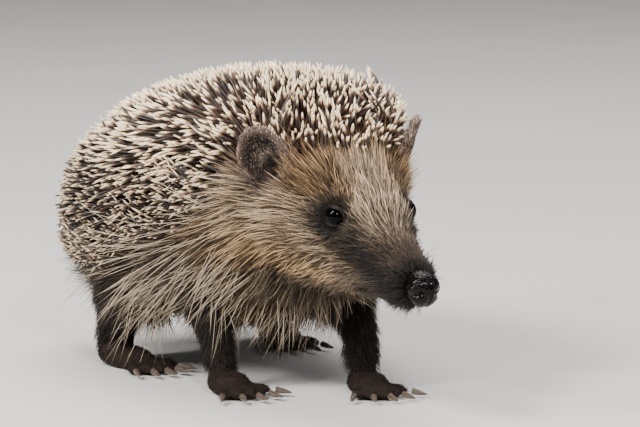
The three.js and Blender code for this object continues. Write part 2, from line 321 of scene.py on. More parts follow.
# region: skin's depth under the tips (mm), hair length (mm), hairs to the square mm,
# how far a hair stands at its root and near its tip (degrees), which way it lies, shade
coat = {
    "crown": (9.5, 0, 0, 0, 0, (0, 1, 0.1), "mantle"),
    "back": (10.5, 0, 0, 0, 0, (0, 1, 0), "mantle"),
    "rump": (10, 0, 0, 0, 0, (0, 1, -0.6), "mantle"),
    "head": (2.3, 8.5, 3.2, 30, 10, (0, 1, 0), "cheek"),
    "muzzle": (0.6, 3.4, 5.0, 22, 8, (0, 1, 0), "snout"),
    "lower_jaw": (0.9, 4.5, 4.0, 22, 8, (0, 1, 0), "chin"),
    "ear": (0.12, 2.4, 6.0, 24, 8, (0, 0.1, 1), "ear"),
    "neck": (4.0, 15, 1.9, 28, 8, (0, 1, -0.3), "neck"),
    "shoulder": (5.0, 19, 1.6, 28, 6, (0, 1, -0.38), "flank"),
    "flank": (5.0, 20, 1.4, 28, 6, (0, 1, -0.45), "flank"),
    "haunch": (4.5, 18, 1.4, 26, 6, (0, 1, -0.6), "under"),
    "chest": (4.0, 16, 1.5, 26, 8, (0, 0.8, -1), "throat"),
    "belly": (3.5, 14, 1.2, 25, 8, (0, 1, -0.4), "under"),
    "vent": (3.0, 12, 1.4, 25, 8, (0, 0.7, -1), "under"),
    "tail": (1.0, 7, 3.0, 22, 8, (0, 0.5, -1), "leg"),
    "foreleg": (1.0, 4.6, 3.4, 22, 6, (0, 0.25, -1), "leg"),
    "hindleg": (1.2, 5.5, 3.0, 22, 6, (0, 0.25, -1), "leg"),
    "forefoot": (0.2, 1.7, 5.0, 16, 4, (0, -1, -0.1), "foot"),
    "hindfoot": (0.2, 1.7, 5.0, 16, 4, (0, -1, -0.1), "foot"),
}
# the same five numbers for the face, which changes from brow to hairline
faceCoat = {"front": (1.4, 5.8, 3.6, 24, 8), "cheek": (3.4, 10.5, 3.2, 32, 10)}
faceCoat["crest"] = (4.8, 11, 3.0, 58, 46)
hairline = (70, 74)  # spines start between these heights on the brow (mm)
# where each of the coat's numbers stands in its table of points
depthAt, lengthAt, densityAt, standAt, layAt, mantleAt = range(6)
lieAt, lieUpAt, rootAt, tipAt = slice(6, 9), 8, slice(9, 12), slice(12, 15)
mantleRegions = ("crown", "back", "rump")
headRegions = ("head", "muzzle", "lower_jaw")
apart = ("eye", "nose", "claw")


def regionOf(node):
    return node.replace("_left", "").replace("_right", "")


fleshNodes = [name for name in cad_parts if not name.startswith(apart)]
formNodes = [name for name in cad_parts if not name.startswith("claw")]


# the dark mask: a line from the eye to the nose and its run, how wide it is, and the eye's ring
mask = {"start": (-33, 8), "run": (25, -9.5), "wide": (6.5, 2.5), "eye": (-32.2, 9, 12), "ring": (6.6, 4.0)}


def headShade(points, normals):
    # the markings of the face, as root and tip colours
    u, v, w = inHead(points).T
    sideways = np.abs(normals @ head["axes"][1])
    root, tip = (np.tile(shade, (len(points), 1)) for shade in shades["cheek"])
    patchy = np.abs(v) + 2.5 * swirl(points, 3 * mm, 5)
    looks = [
        ("jowl", ramp(w, 1, -7) * ramp(u, -22, -34)),
        ("brow", ramp(w, 9, 14) * ramp(u, -26, -32)),
        ("forehead", ramp(w, 13, 18) * ramp(u, -26, -34)),
        ("throat", ramp(w, -8, -15)),
        ("snout", ramp(u, -30, -14)),
        ("bridge", ramp(w, 2, 7) * ramp(patchy, 11, 0) * ramp(u, -9, -25) * ramp(u, -46, -34)),
        ("chin", ramp(w, -3, -7) * ramp(u, -28, -18)),
        ("mask", 0.9 * ramp(u, -7.5, -4.5)),
    ]
    for name, share in looks:
        root = blend(root, shades[name][0], share)
        tip = blend(tip, shades[name][1], share)
    (startU, startW), (runU, runW), (eyeU, eyeW, eyeV) = mask["start"], mask["run"], mask["eye"]
    along = np.clip((u - startU) / runU, 0, 1)
    away = np.hypot(u - (startU + runU * along), w - (startW + runW * along))
    dark = 0.9 * ramp(away, *mask["wide"]) * ramp(sideways, 0.2, 0.5)
    ring = ramp(np.hypot(np.hypot(u - eyeU, w - eyeW), np.abs(v) - eyeV), *mask["ring"])
    dark = np.maximum(dark, ring)
    return blend(root, shades["mask"][0], dark), blend(tip, shades["mask"][1], dark)


def headLie(points):
    # hair runs back from the nose: up over the brow, level on the cheek, down on the jowl
    u, v, w = inHead(points).T
    temple = ramp(np.abs(v), 7, 15)
    rise = (1.25 - 0.6 * temple) * ramp(w, 7, 14) * ramp(u, -14, -30) - 0.75 * ramp(w, 3, -12) - 0.15
    spread = np.sign(v) * ramp(np.abs(v), 0, 5) * (0.22 + 0.3 * temple * ramp(w, 4, 14))
    lie = np.stack([-np.ones(len(u)), spread, rise], 1)
    for side in (-1, 1):
        # it parts round the eye
        near = np.stack([u + eyes["back"], v - side * eyes["out"], w - eyes["up"]], 1)
        share = ramp(np.linalg.norm(near, axis=1), *eyes["around"])
        lie += unit(near) * share[:, None] * 1.5
    return lie @ head["axes"]


# meshes as arrays

def readOut(items, name, width, kind=np.int32):
    flat = np.empty(len(items) * width, kind)
    items.foreach_get(name, flat)
    return flat.reshape(-1, width)


def pointsOf(mesh):
    return readOut(mesh.vertices, "co", 3, np.float32).astype(float)


def setPoints(mesh, points):
    mesh.vertices.foreach_set("co", points.astype(np.float32).ravel())


def edgesOf(mesh):
    return readOut(mesh.edges, "vertices", 2)


def trianglesOf(mesh):
    # each triangle's three points, and its three corners on the map
    mesh.calc_loop_triangles()
    return tuple(readOut(mesh.loop_triangles, name, 3) for name in ("vertices", "loops"))


def normalsOf(points, triangles):
    a, b, c = (points[triangles[:, k]] for k in range(3))
    flat = np.cross(b - a, c - a)
    total = np.zeros_like(points)
    for k in range(3):
        for axis in range(3):
            total[:, axis] += np.bincount(triangles[:, k], flat[:, axis], len(points))
    return unit(total)


def smoothed(values, edges, times, share=0.5):
    values = values.reshape(len(values), -1).copy()
    count = len(values)
    degree = np.maximum(np.bincount(edges.ravel(), minlength=count), 1)[:, None]
    share = np.broadcast_to(np.asarray(share).reshape(-1, 1), (count, 1))
    for _ in range(times):
        total = np.empty_like(values)
        for column in range(values.shape[1]):
            total[:, column] = np.bincount(edges[:, 0], values[edges[:, 1], column], count)
            total[:, column] += np.bincount(edges[:, 1], values[edges[:, 0], column], count)
        values += (total / degree - values) * share
    return values


def addPiece(name, mesh, finish):
    piece = linked(name, mesh)
    mesh.materials.clear()
    mesh.materials.append(finish)
    mesh.shade_smooth()
    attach(piece, "root")
    return piece


def voxelForm(mesh, voxel):
    # one closed, even surface round everything in the mesh
    holder = linked("form", mesh)
    remesh = holder.modifiers.new("voxels", "REMESH")
    remesh.mode = "VOXEL"
    remesh.voxel_size = voxel
    graph = bpy.context.evaluated_depsgraph_get()
    form = bpy.data.meshes.new_from_object(holder.evaluated_get(graph))
    bpy.data.objects.remove(holder)
    return form


# the skin: the outer form of the coat, let down by the coat's depth

skinMaking = {"coatVoxel": 0.85 * mm, "voxel": 0.72 * mm, "overlap": 0.3 * mm, "steps": 7}


def coatForm():
    joined = bmesh.new()
    for name in formNodes:
        joined.from_mesh(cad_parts[name].data)
    bmesh.ops.remove_doubles(joined, verts=joined.verts, dist=0.001 * mm)
    joined.normal_update()
    for vertex in joined.verts:
        vertex.co += vertex.normal * skinMaking["overlap"]
    mesh = bpy.data.meshes.new("coat form")
    joined.to_mesh(mesh)
    return voxelForm(mesh, skinMaking["coatVoxel"])


def regionAt(points):
    corners, owner, total = [], [], 0
    triangles = []
    for index, name in enumerate(fleshNodes):
        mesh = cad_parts[name].data
        nodeTriangles = trianglesOf(mesh)[0]
        corners.append(pointsOf(mesh))
        triangles.append(nodeTriangles + total)
        owner += [index] * len(nodeTriangles)
        total += len(corners[-1])
    tree = BVHTree.FromPolygons(np.concatenate(corners).tolist(), np.concatenate(triangles).tolist())
    return np.array([owner[tree.find_nearest(p)[2]] for p in points.tolist()])


def coatFields(points, normals, edges):
    # what the coat is like at each point: smoothed numbers, and the colours
    owner = regionAt(points)
    regions = [regionOf(name) for name in fleshNodes]
    table = np.array([[*coat[r][:5], float(r in mantleRegions), *coat[r][5]] for r in regions])
    fields = table[owner]
    inFace = np.isin(owner, [i for i, r in enumerate(regions) if r in headRegions])
    fields[inFace, lieAt] = headLie(points[inFace])
    skull = np.isin(owner, [i for i, r in enumerate(regions) if r == "head"])
    u, v, w = inHead(points[skull]).T
    rear = blend(np.array(faceCoat["cheek"]), np.array(faceCoat["crest"]), ramp(w, 6, 16))
    fields[skull, :mantleAt] = blend(np.array(faceCoat["front"]), rear, ramp(u, -28, -56))
    mantle = fields[:, mantleAt] > 0.5
    fields[mantle, lieUpAt] -= 0.7 * np.abs(normals[mantle, 0])
    for side in (-1, 1):
        away = np.linalg.norm(points - eyeCentre(side), axis=1) / mm
        near = ramp(away, *eyes["around"])
        fields[:, depthAt] *= 1 - 0.55 * near
        fields[:, lengthAt] *= 1 - 0.62 * near
        # it is short in front of an ear too, and below it
        front = inEar(points, side)
        lower = front + (0, 0, 2)
        close = ramp(np.linalg.norm(lower, axis=1), 11.5, 7.5) * (front[:, 0] > -1.5)
        fields[:, lengthAt] *= 1 - 0.58 * close
        fields[:, depthAt] *= 1 - 0.5 * close
    # round the nose it is thin, and stands a little
    atNose = ramp(inHead(points)[:, 0], -13, -6)
    fields[:, depthAt] *= 1 - 0.8 * atNose
    fields[:, standAt] += 16 * atNose
    fields[:, layAt] += 8 * atNose
    crest = ramp(points[:, 2] / mm, *hairline) * inFace
    fields[:, mantleAt] = np.maximum(fields[:, mantleAt], crest)
    fields[:, depthAt] = np.maximum(fields[:, depthAt], 8 * crest)
    fields = smoothed(fields, edges, 14)
    root = np.array([shades[coat[r][6]][0] for r in regions])[owner]
    tip = np.array([shades[coat[r][6]][1] for r in regions])[owner]
    root[inFace], tip[inFace] = headShade(points[inFace], normals[inFace])
    for side, name in ((1, "ear_left"), (-1, "ear_right")):
        # an ear is pale at its rim, its own paler colour with a painted highlight on it; a band of painted
        # shadow lies within the rim, and its passage is darkest, with painted shade
        x, y, z = inEar(points, side).T
        out = fromEarMiddle(y, z)
        inside = (out < 1.1) & (x > -7) & (x < 4)
        rim = ramp(out, 0.76, 0.92) - 0.35 * ramp(np.abs(out - 0.6), 0.22, 0.04)
        rim *= owner == fleshNodes.index(name)
        hole = ramp(earHole(y, z, side), 0.08, 0.6) * inside
        for shade, own, light, deep in zip((root, tip), shades["ear"], (2.6, 1.2), (0.97, 0.93)):
            shade[inside] = own
            shade *= (1 + light * rim - deep * hole)[:, None]
    # away from the face the tips darken towards the floor: painted shade under the body
    tip[~inFace] *= (0.35 + 0.65 * ramp(points[~inFace, 2] / mm, 16, 50))[:, None]
    colours = smoothed(np.concatenate([root, tip], 1), edges, 2)
    return np.concatenate([fields, colours], 1), owner


def letDown(points, triangles, edges, depth):
    steps = skinMaking["steps"]
    soften = ramp(depth, 0.5, 4) * 0.5
    for _ in range(steps):
        inward = smoothed(normalsOf(points, triangles), edges, 2)
        points = points - unit(inward) * (depth / steps)[:, None] * mm
        points = smoothed(points, edges, 2, soften)
    return points


form = coatForm()
formPoints = pointsOf(form)
formTriangles = trianglesOf(form)[0]
formEdges = edgesOf(form)
formNormals = normalsOf(formPoints, formTriangles)
formFields, formOwner = coatFields(formPoints, formNormals, formEdges)
coatTree = BVHTree.FromPolygons(formPoints.tolist(), formTriangles.tolist())
print("coat form:", len(formPoints), "points")


def shapeEars(points):
    # the open side of an ear is a shallow cup, and its rim is brought out to its full size
    for side in (-1, 1):
        x, y, z = inEar(points, side).T
        out = fromEarMiddle(y, z)
        cup = 0.6 * ramp(out, 0.85, 0.4) + 0.9 * earHole(y, z, side) * ramp(out, 0.9, 0.6)
        depth = cup * ((x > -0.4) & (x < 3.5))
        rim = ears["rim"] * ramp(out, 0.45, 0.95) * ramp(out, 1.25, 1.12) * ramp(z, -5, 0)
        rim *= (x > -5.5) & (x < 2)
        moves = np.stack([-depth, y * rim, z * rim], 1)
        points = points + moves * mm @ earMatrix(side).T @ head["axes"]
    return points


coatDepth = formFields[:, depthAt] + skinMaking["overlap"] / mm
loweredPoints = shapeEars(letDown(formPoints, formTriangles, formEdges, coatDepth))
setPoints(form, loweredPoints)
form.update()
skinMesh = voxelForm(form, skinMaking["voxel"])
skinMesh.name = "skin"
print("skin:", len(skinMesh.vertices), "points,", len(skinMesh.polygons), "faces")


def nearestOf(points, cloud):
    tree = KDTree(len(cloud))
    for index, point in enumerate(cloud.tolist()):
        tree.insert(point, index)
    tree.balance()
    return np.array([tree.find(point)[1] for point in points.tolist()])


skinPoints = pointsOf(skinMesh)
skinTriangles, skinLoops = trianglesOf(skinMesh)
skinEdges = edgesOf(skinMesh)
skinPoints = smoothed(skinPoints, skinEdges, 2, 0.3)
setPoints(skinMesh, skinPoints)
matching = nearestOf(skinPoints, loweredPoints)
skinFields = smoothed(formFields[matching], skinEdges, 2)
skinOwner = formOwner[matching]
skinNormals = normalsOf(skinPoints, skinTriangles)


def unwrapSkin():
    # a map of the skin's own shape; hairs take their place on it from their roots
    holder = linked("unwrap", skinMesh)
    bpy.context.view_layer.objects.active = holder
    holder.select_set(True)
    skinMesh.uv_layers.new(name="OFBake")
    bpy.ops.object.mode_set(mode="EDIT")
    bpy.ops.mesh.select_all(action="SELECT")
    bpy.ops.uv.smart_project(angle_limit=math.radians(70), island_margin=0.002)
    bpy.ops.object.mode_set(mode="OBJECT")
    bpy.data.objects.remove(holder)
    return readOut(skinMesh.uv_layers["OFBake"].data, "uv", 2, np.float32).astype(float)


skinMap = unwrapSkin()
print("skin unwrapped")


def setColours(mesh, name, colours):
    attribute = mesh.attributes.new(name, "FLOAT_COLOR", "POINT")
    full = np.ones((len(colours), 4), np.float32)
    full[:, :3] = colours
    attribute.data.foreach_set("color", full.ravel())


def setNumbers(mesh, name, numbers):
    mesh.attributes.new(name, "FLOAT", "POINT").data.foreach_set("value", numbers.astype(np.float32))


def skinFinish():
    finish = Finish("skin_under_coat", roughness=0.7, specular=0.08)
    mottle = finish.grey(finish.noise(900, 4), 0.7, 1.3)
    finish.colour(finish.times(finish.attribute("shade"), mottle))
    finish.bump(finish.noise(1600, 5, 0.6), 0.25 * mm, 0.6)
    return finish.material


def addSkin():
    setColours(skinMesh, "shade", blend(skinFields[:, rootAt], skinFields[:, tipAt], 0.03))
    skin = addPiece("skin", skinMesh, skinFinish())
    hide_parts(*fleshNodes)


addSkin()


# strands: hairs and spines as thin closed tubes, each with its own small patch of the map

patch = 0.003  # side of a strand's patch on the map


def strandMesh(name, paths, wide, thick, widthWay, sides, corner, colours=None, tone=None):
    # paths: strands x rings x 3, the last ring being the tip; wide and thick: strands x rings
    count, rings = paths.shape[:2]
    body = rings - 1
    along = unit(np.gradient(paths, axis=1))
    across = unit(widthWay[:, None, :] - along * np.sum(widthWay[:, None, :] * along, 2, keepdims=True))
    over = np.cross(along, across)
    angles = np.arange(sides) * 2 * math.pi / sides + math.pi / 2
    ring = paths[:, :body, None, :]
    ring = ring + across[:, :body, None, :] * (wide[:, :body, None] * np.cos(angles))[..., None]
    ring = ring + over[:, :body, None, :] * (thick[:, :body, None] * np.sin(angles))[..., None]
    each = body * sides + 1
    points = np.concatenate([ring.reshape(count, -1, 3), paths[:, -1:, :]], 1)
    k = np.arange(sides)
    nextK = (k + 1) % sides
    quads, quadMap = [], []
    for r in range(body - 1):
        low, high = r * sides, (r + 1) * sides
        quads.append(np.stack([low + k, low + nextK, high + nextK, high + k], 1))
        low, high = r / body, (r + 1) / body
        quadMap.append([[(s, low), (s + 1, low), (s + 1, high), (s, high)] for s in k])
    quads = np.concatenate(quads) if quads else np.zeros((0, 4), int)
    quadMap = np.array(quadMap, float).reshape(-1, 2)
    last = (body - 1) * sides
    tips = np.stack([last + k, last + nextK, np.full(sides, each - 1)], 1)
    under = 1 - 1 / body
    tipMap = np.array([[(s, under), (s + 1, under), (s + 0.5, 1)] for s in k], float).reshape(-1, 2)
    caps = np.array([[0, s + 1, s] for s in range(1, sides - 1)])
    capMap = np.array([[(0, 0), (s + 1, 0), (s, 0.02)] for s in range(1, sides - 1)], float).reshape(-1, 2)
    starts = (np.arange(count) * each)[:, None]
    flat = [(quads, quadMap, 4), (tips, tipMap, 3), (caps, capMap, 3)]
    corners = np.concatenate([(starts + faces.reshape(1, -1)).ravel() for faces, _, _ in flat])
    sizes = np.concatenate([np.full(count * len(faces), size) for faces, _, size in flat])
    shrink = np.array([1 / sides, 1])
    inner = 0.84 * patch
    maps = [
        (corner[:, None, :] + 0.08 * patch + (uv * shrink * inner)[None]).reshape(-1, 2) for _, uv, _ in flat
    ]
    mesh = bpy.data.meshes.new(name)
    mesh.vertices.add(count * each)
    setPoints(mesh, points)
    mesh.loops.add(len(corners))
    mesh.loops.foreach_set("vertex_index", corners.astype(np.int32))
    mesh.polygons.add(len(sizes))
    starts = np.concatenate([[0], np.cumsum(sizes)[:-1]])
    mesh.polygons.foreach_set("loop_start", starts.astype(np.int32))
    mesh.update(calc_edges=True)
    layer = mesh.uv_layers.new(name="OFBake")
    layer.data.foreach_set("uv", np.concatenate(maps).astype(np.float32).ravel())
    if colours is not None:
        spread = np.repeat(colours[:, :body], sides, 1)
        setColours(mesh, "shade", np.concatenate([spread, colours[:, -1:]], 1).reshape(-1, 3))
    if tone is not None:
        share = np.append(np.repeat(np.arange(body) / body, sides), 1)
        setNumbers(mesh, "along", np.tile(share, count))
        setNumbers(mesh, "tone", np.repeat(tone, each))
    return mesh


def scatter(weights, count, random):
    # random places on the skin's triangles, as many on each as its weight says
    pick = np.searchsorted(np.cumsum(weights), random.uniform(0, weights.sum(), count))
    pick = np.clip(pick, 0, len(weights) - 1)
    a, b = random.uniform(size=(2, count))
    fold = a + b > 1
    a[fold], b[fold] = 1 - a[fold], 1 - b[fold]
    return pick, np.stack([1 - a - b, a, b], 1)


def rootsAt(pick, share):
    def mixed(values):
        return sum(values[skinTriangles[pick, k]] * share[:, k:k + 1] for k in range(3))

    atlas = sum(skinMap[skinLoops[pick, k]] * share[:, k:k + 1] for k in range(3))
    cell = np.floor(atlas / patch) * patch
    out = unit(mixed(skinNormals))
    return {"at": mixed(skinPoints), "out": out, "field": mixed(skinFields), "cell": cell}


def keep(roots, wanted):
    return {key: value[wanted] for key, value in roots.items()}


firstCorner, secondCorner, thirdCorner = (skinPoints[skinTriangles[:, k]] for k in range(3))
triangleArea = np.linalg.norm(np.cross(secondCorner - firstCorner, thirdCorner - firstCorner), axis=1) / 2
triangleField = skinFields[skinTriangles].mean(1)
triangleOwner = skinOwner[skinTriangles[:, 0]]


def spaced(points, gap):
    # the points that keep their distance from those before them
    kept, cells = [], {}
    around = list(itertools.product((-1, 0, 1), repeat=3))
    for index, point in enumerate((points / gap).tolist()):
        x, y, z = (math.floor(c) for c in point)
        near = [other for dx, dy, dz in around for other in cells.get((x + dx, y + dy, z + dz), ())]
        if all(sum((a - b) ** 2 for a, b in zip(point, other)) >= 1 for other in near):
            kept.append(index)
            cells.setdefault((x, y, z), []).append(point)
    return np.array(kept)


def alongSkin(ways, out):
    # the part of each way that follows the skin
    return unit(ways - out * np.sum(ways * out, 1, keepdims=True))


def reach(points, ways, longest):
    # how far it is along each way from the skin to the outside of the coat
    far = np.full(len(points), longest)
    for index, (point, way) in enumerate(zip(points.tolist(), ways.tolist())):
        hit = coatTree.ray_cast(Vector(point), Vector(way), longest)
        if hit[3] is not None:
            far[index] = hit[3]
    return far


# spines

spines = {"gap": 1.17 * mm, "tries": 64000, "radius": 0.455 * mm, "longest": 24 * mm, "seed": 11}
# how they stand (degrees): on the back, and how much more on the brow, the sides and beside the brow
spines |= {"lift": 40, "frontLift": 38, "sideLift": 23, "flareLift": 8, "unevenLift": 10}
spines |= {"drift": 0.13, "lump": 9 * mm, "cross": 0.19, "rise": 0.1}
spines |= {"flareLength": 4.8 * mm, "rooted": 0.6 * mm, "sides": 5}
spines["steps"] = (0, 0.12, 0.4, 0.62, 0.8, 0.93, 1)
spines["girth"] = (0.3, 0.7, 0.95, 1, 0.94, 0.64, 0)


def spineFinish():
    finish = Finish("spine_horn", roughness=0.38, specular=0.45)
    along = finish.attribute("along", "Fac")
    tone = finish.attribute("tone", "Fac")
    shift = finish.node("ShaderNodeMath", operation="MULTIPLY_ADD")
    finish.join(tone, shift.inputs[0])
    shift.inputs[1].default_value = 0.14
    finish.join(along, shift.inputs[2])
    base, dark, cream = tint(118, 94, 78), tint(52, 41, 36), tint(242, 218, 178)
    bands = [(0.0, base), (0.34, base), (0.46, dark), (0.66, dark)]
    bands += [(0.73, tint(132, 102, 80)), (0.79, cream), (1.0, tint(250, 230, 200))]
    banded = finish.steps(shift.outputs[0], bands)
    # the bands are multiplied by each spine's light number, painted light from above
    paintedLightBands = finish.times(banded, finish.attribute("light", "Fac"))
    finish.colour(finish.times(paintedLightBands, finish.grey(finish.noise(700, 2), 0.8, 1.2)))
    return finish.material


def growSpines():
    random = np.random.default_rng(spines["seed"])
    mantle = triangleField[:, mantleAt] > 0.3
    roots = rootsAt(*scatter(triangleArea * mantle, spines["tries"], random))
    roots = keep(roots, spaced(roots["at"], spines["gap"]))
    at, out, field = roots["at"], roots["out"], roots["field"]
    count = len(at)
    lie = alongSkin(field[:, lieAt], out)
    frontness = ramp(at[:, 1] / mm, 0, -26)
    flare = ramp(np.abs(at[:, 0]) / mm, 6, 18) * ramp(at[:, 1] / mm, -16, -30)
    sideness = ramp(at[:, 2] / mm, 70, 50) * (1 - frontness)
    lift = spines["lift"] + spines["frontLift"] * frontness + spines["sideLift"] * sideness
    lift = np.radians(lift + spines["flareLift"] * flare + random.normal(0, spines["unevenLift"], count))
    way = lie * np.cos(lift)[:, None] + out * np.sin(lift)[:, None]
    drift = np.stack([swirl(at, spines["lump"], spines["seed"] + k) for k in range(3)], 1) * spines["drift"]
    way = unit(way + random.normal(0, spines["cross"], (count, 3)) + drift + np.array([0, 0, spines["rise"]]))
    length = reach(at, way, spines["longest"]) * random.uniform(0.86, 1.1, count) + 0.4 * mm
    length += spines["flareLength"] * flare
    side = unit(np.cross(way, out))
    steps, girth = np.array(spines["steps"]), np.array(spines["girth"])
    bow = (random.normal(0, 0.035, count) * length)[:, None, None] * (steps * (1 - steps) * 4)[None, :, None]
    paths = (at - out * spines["rooted"])[:, None, :] + way[:, None, :] * (length[:, None] * steps)[..., None]
    paths = paths + side[:, None, :] * bow
    radius = spines["radius"] * random.uniform(0.8, 1.15, count) * (1 - 0.16 * sideness)
    wide = radius[:, None] * girth
    tone = random.normal(0, 0.36, count) + 0.2 + 0.15 * ramp(at[:, 1] / mm, -34, 6) - 0.95 * sideness
    # spines are brighter towards the top: painted light from above, times a random tone for each spine
    light = (0.75 + 0.5 * ramp(at[:, 2] / mm, 50, 78)) * np.exp(random.normal(0, 0.15, count))
    finish = spineFinish()
    names = ("spines_crown", "spines_left", "spines_right")
    part = np.where(at[:, 1] < -8 * mm, 0, np.where(at[:, 0] > 0, 1, 2))
    for ear in (-1, 1):
        # none goes through an ear
        x, y, z = np.moveaxis(inEar(paths, ear), 2, 0)
        part[((np.abs(x) < 2.6) & (np.hypot(y / 8.6, z / 10) < 1)).any(1)] = -1
    sides = spines["sides"]
    for index, name in enumerate(names):
        own = part == index
        cell = roots["cell"][own]
        mesh = strandMesh(name, paths[own], wide[own], wide[own], side[own], sides, cell, tone=tone[own])
        setNumbers(mesh, "light", np.repeat(light[own], len(mesh.vertices) // own.sum()))
        addPiece(name, mesh, finish)
        print(name, own.sum(), "spines,", len(mesh.polygons), "faces")


growSpines()


# fur; the lids come first, as the hair keeps clear of what shows between them

lid = {"around": 56, "wide": 70, "high": 41, "look": (0.42, 0.84, 0.22), "clear": 46}
# its section: degrees beyond its edge, and millimetres over the eyeball
lid["section"] = [(-1, -0.2), (-0.5, 0.08), (2, 0.18), (8, 0.28), (17, 0.26), (28, 0.05)]
lid["section"] += [(40, -0.35), (40, -0.9), (14, -0.7)]


def lookWay(side):
    away, out, up = lid["look"]
    return unit(np.array([away, side * out, up])) @ head["axes"]


def furFinish(name, roughness=0.5):
    finish = Finish(name, roughness=roughness, specular=0.35)
    mottle = finish.grey(finish.noise(420, 3), 0.82, 1.18)
    finish.colour(finish.times(finish.attribute("shade"), mottle))
    return finish.material


def hairPaths(roots, making, random):
    at, out, field = roots["at"], roots["out"], roots["field"]
    count = len(at)
    lie = alongSkin(field[:, lieAt], out)
    side = np.cross(out, lie)
    turn = making["wander"] * swirl(at, making["lump"], making["seed"])
    turn += random.normal(0, making["cross"], count)
    lie = unit(lie * np.cos(turn)[:, None] + side * np.sin(turn)[:, None])
    side = np.cross(out, lie)
    length = field[:, lengthAt] * mm * making["stretch"] * random.uniform(0.62, 1.12, count)
    length *= 1 + 0.14 * swirl(at, making["lump"] * 1.3, making["seed"] + 1)
    wave = swirl(at, making["lump"] * 0.8, making["seed"] + 2)
    stand = field[:, standAt] * making["stand"] * (1 + 0.25 * wave)
    first = np.radians(stand + random.normal(0, making["uneven"], count))
    second = np.radians(field[:, layAt] + making["free"] + random.normal(0, making["uneven"], count))
    rise = lie * np.cos(first)[:, None] + out * np.sin(first)[:, None]
    bend = at + rise * (length * making["bend"])[:, None]
    rest = lie * np.cos(second)[:, None] + out * np.sin(second)[:, None]
    rest[:, 2] -= making["sag"]
    end = bend + unit(rest) * (length * (1 - making["bend"]))[:, None]
    centres = random.choice(count, max(2, int(count * making["locks"])), replace=False)
    mine = centres[nearestOf(at, at[centres])]
    pull = random.uniform(0.4, 1.0, count)[:, None] * making["pinch"]
    near = (np.linalg.norm(at - at[mine], axis=1) < 0.4 * length)[:, None]
    end = end + (end[mine] - end) * pull * near
    bend = bend + (bend[mine] - bend) * pull * 0.35 * near
    t = np.array(making["rings"])[None, :, None]
    start = at - out * making["rooted"]
    paths = start[:, None] * (1 - t) ** 2 + bend[:, None] * 2 * t * (1 - t) + end[:, None] * t ** 2
    paths[:, :, 2] = np.maximum(paths[:, :, 2], making["floor"])
    return paths, side, length


def growFur(name, regions, making, finish, side=0):
    random = np.random.default_rng(making["seed"])
    own = np.isin(triangleOwner, [i for i, n in enumerate(fleshNodes) if regionOf(n) in regions])
    if side:
        own &= skinPoints[skinTriangles[:, 0], 0] * side > 0
    density = triangleField[:, densityAt] * making["density"] * own
    density = density * ramp(triangleField[:, mantleAt], *making["edge"])
    weights = triangleArea / mm ** 2 * density
    count = int(weights.sum())
    roots = rootsAt(*scatter(weights, count, random))
    wanted = roots["at"][:, 2] > 1.2 * mm   # none under the soles
    for eye in (-1, 1):
        wanted &= np.linalg.norm(roots["at"] - eyeCentre(eye), axis=1) > (eyes["radius"] + 0.4) * mm
        x, y, z = inEar(roots["at"], eye).T
        wanted &= ~((x > -7) & (x < 5) & (np.hypot(y / 7, (z + 0.5) / 8.6) < 1)) | ("ear" in regions)
        wanted &= ~((x > -1) & (x < 5) & (earHole(y, z, eye) > 0.6))
    wanted &= np.linalg.norm(roots["at"] - head["nose"], axis=1) > bareNose
    roots = keep(roots, wanted)
    count = len(roots["at"])
    paths, across, length = hairPaths(roots, making, random)
    clear = (np.abs(paths[:, :, 0]) < sideReach).all(1)
    for eye in (-1, 1):
        # none lies across an eye
        away = paths - eyeCentre(eye)
        far = np.linalg.norm(away, axis=2)
        ahead = (away @ lookWay(eye)) / far > math.cos(math.radians(lid["clear"]))
        clear &= ~((far < (eyes["radius"] + 0.3) * mm) | (ahead & (far < eyes["around"][0] * mm))).any(1)
    roots, paths, across, length = keep(roots, clear), paths[clear], across[clear], length[clear]
    count = len(paths)
    t = np.array(making["rings"])
    radius = making["radius"] * random.uniform(0.75, 1.2, count)
    wide = radius[:, None] * (1 - t ** 2.2) ** 0.7
    light = np.exp(random.normal(0, making["contrast"], count))
    root, tip = roots["field"][:, rootAt], roots["field"][:, tipAt]
    if "shade" in making:
        root, tip = (blend(own, shades[making["shade"]][k], 0.75) for k, own in enumerate((root, tip)))
    tip = blend(tip * making["bright"], root, 0.85 * (random.uniform(size=count) < making["dim"]))
    share = np.tile(t ** making["fade"], (count, 1))
    colours = blend(root[:, None], tip[:, None], share) * light[:, None, None]
    sides = making["sides"]
    mesh = strandMesh(name, paths, wide, wide * making["flat"], across, sides, roots["cell"], colours=colours)
    addPiece(name, mesh, finish)
    print(name, count, "hairs,", len(mesh.polygons), "faces")


bareNose = 4.5 * mm     # no hair this near to the middle of the nose
sideReach = 57.4 * mm   # strands that pass this far to a side are left out

# what each kind of hair adds to the numbers of its region: stand, free and uneven are in degrees,
# wander and cross turn it aside, locks and pinch draw tips together, dim is the share of dark hairs,
# fade and bright colour it towards the tip, and edge is how far it runs into the spines
shortHair = {"seed": 21, "density": 2.3, "stretch": 1.0, "radius": 0.095 * mm, "rings": (0, 0.5, 1)}
shortHair |= {"stand": 1.0, "free": 0, "uneven": 6, "sag": 0.05, "bend": 0.45, "rooted": 0.25 * mm}
shortHair |= {"wander": 0.2, "cross": 0.2, "lump": 5 * mm, "locks": 0.05, "pinch": 0.4, "floor": 0.25 * mm}
shortHair |= {"contrast": 0.5, "fade": 1.4, "dim": 0.45, "bright": 0.7, "edge": (0.95, 0.5)}
shortHair |= {"sides": 3, "flat": 0.55}
muzzleHair = shortHair | {"seed": 23, "radius": 0.085 * mm, "contrast": 0.6}
earHair = shortHair | {"seed": 24, "radius": 0.07 * mm, "density": 1.2, "contrast": 0.6, "bright": 1.1}
overHair = shortHair | {"seed": 51, "density": 0.24, "stretch": 1.3, "radius": 0.13 * mm}
